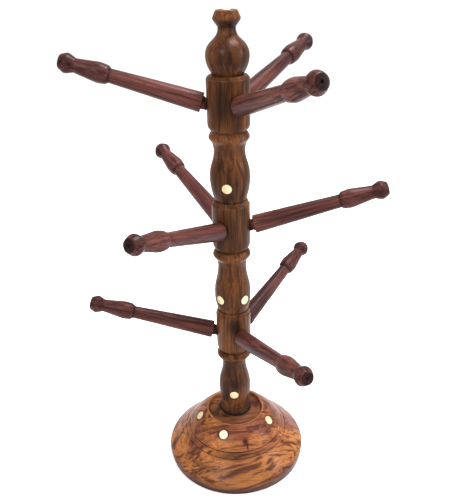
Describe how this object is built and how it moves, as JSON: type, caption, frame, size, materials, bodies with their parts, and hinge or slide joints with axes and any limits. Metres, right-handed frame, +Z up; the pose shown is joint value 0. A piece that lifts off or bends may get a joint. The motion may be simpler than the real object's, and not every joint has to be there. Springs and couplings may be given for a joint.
{
  "type": "mug tree",
  "caption": "Turned wooden mug tree: domed round base, screwed column of drums and balusters, upward-tilted knobbed pegs in tiers, pale metal disc inlays.",
  "frame": {"origin": "centre of the base's standing face, on the column's axis", "axes": "+Z up the column; seen from the front, -Y faces the viewer and +X is to the right"},
  "size_m": [0.2872, 0.2556, 0.4577],
  "materials": {
    "base_wood": "oiled satin, figured golden brown",
    "column_wood": "oiled satin, dark brown with orange streaks",
    "peg_wood": "oiled satin, reddish brown",
    "brass": "sanded flush, pale gold"
  },
  "bodies": {
    "base": {"base": "base_wood", "dome_inlays": "brass"},
    "foot": {"column_foot": "column_wood", "foot_inlays": "brass"},
    "lower_tier": {"lower_tier": "column_wood", "lower_inlays": "brass"},
    "middle_tier": {"middle_tier": "column_wood", "middle_inlays": "brass"},
    "upper_tier": {"upper_tier": "column_wood", "finial_button": "brass"},
    "peg_lower_left": {"peg_lower_left": "peg_wood"},
    "peg_lower_back": {"peg_lower_back": "peg_wood"},
    "peg_lower_front": {"peg_lower_front": "peg_wood"},
    "peg_middle_back": {"peg_middle_back": "peg_wood"},
    "peg_middle_front": {"peg_middle_front": "peg_wood"},
    "peg_middle_right": {"peg_middle_right": "peg_wood"},
    "peg_upper_left": {"peg_upper_left": "peg_wood"},
    "peg_upper_back": {"peg_upper_back": "peg_wood"},
    "peg_upper_front": {"peg_upper_front": "peg_wood"}
  },
  "joints": [
    {"name": "foot_turn", "type": "hinge", "parent": "base", "child": "foot", "pos_m": [0, 0, 0.0535], "axis": [0, 0, 1], "range_deg": [0, 180]},
    {"name": "lower_tier_turn", "type": "hinge", "parent": "foot", "child": "lower_tier", "pos_m": [0, 0, 0.1319], "axis": [0, 0, 1], "range_deg": [0, 180]},
    {"name": "middle_tier_turn", "type": "hinge", "parent": "lower_tier", "child": "middle_tier", "pos_m": [0, 0, 0.2449], "axis": [0, 0, 1], "range_deg": [0, 180]},
    {"name": "upper_tier_turn", "type": "hinge", "parent": "middle_tier", "child": "upper_tier", "pos_m": [0, 0, 0.3579], "axis": [0, 0, 1], "range_deg": [0, 180]},
    {"name": "peg_lower_left_out", "type": "slide", "parent": "lower_tier", "child": "peg_lower_left", "axis": [-0.9646, 0.0286, 0.2622], "range_m": [0, 0.0107]},
    {"name": "peg_lower_back_out", "type": "slide", "parent": "lower_tier", "child": "peg_lower_back", "axis": [0.5712, 0.7663, 0.294], "range_m": [0, 0.0107]},
    {"name": "peg_lower_front_out", "type": "slide", "parent": "lower_tier", "child": "peg_lower_front", "axis": [0.3848, -0.8809, 0.2756], "range_m": [0, 0.0107]},
    {"name": "peg_middle_back_out", "type": "slide", "parent": "middle_tier", "child": "peg_middle_back", "axis": [-0.4947, 0.8104, 0.314], "range_m": [0, 0.0107]},
    {"name": "peg_middle_front_out", "type": "slide", "parent": "middle_tier", "child": "peg_middle_front", "axis": [-0.5191, -0.8055, 0.2857], "range_m": [0, 0.0107]},
    {"name": "peg_middle_right_out", "type": "slide", "parent": "middle_tier", "child": "peg_middle_right", "axis": [0.9623, -0.0403, 0.2689], "range_m": [0, 0.0107]},
    {"name": "peg_upper_left_out", "type": "slide", "parent": "upper_tier", "child": "peg_upper_left", "axis": [-0.954, 0.0801, 0.289], "range_m": [0, 0.0107]},
    {"name": "peg_upper_back_out", "type": "slide", "parent": "upper_tier", "child": "peg_upper_back", "axis": [0.551, 0.7841, 0.2857], "range_m": [0, 0.0107]},
    {"name": "peg_upper_front_out", "type": "slide", "parent": "upper_tier", "child": "peg_upper_front", "axis": [0.3901, -0.868, 0.3074], "range_m": [0, 0.0107]}
  ]
}
